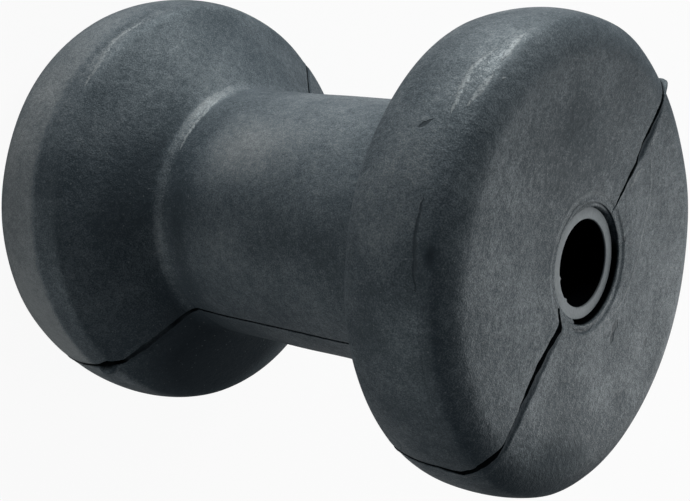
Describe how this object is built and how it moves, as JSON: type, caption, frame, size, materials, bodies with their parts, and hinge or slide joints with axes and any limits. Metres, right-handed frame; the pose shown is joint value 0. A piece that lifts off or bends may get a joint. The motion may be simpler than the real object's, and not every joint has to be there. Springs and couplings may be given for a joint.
{
  "type": "boat trailer roller",
  "caption": "Dark rubber spool-shaped keel roller with dished flanges, rounded rims and a tube-lined spindle bore.",
  "frame": {"origin": "middle of the lower end face, which the roller stands on", "axes": "+Z along the rolling axis to the upper end face; X lies in the mould's parting plane and Y across it"},
  "size_m": [0.117, 0.119, 0.152],
  "materials": {
    "rubber": "matt moulded rubber with a grey bloom",
    "liner": "sawn matt plastic tube"
  },
  "bodies": {
    "root": {"roller_body": "rubber", "bore_liner": "liner"}
  },
  "joints": []
}
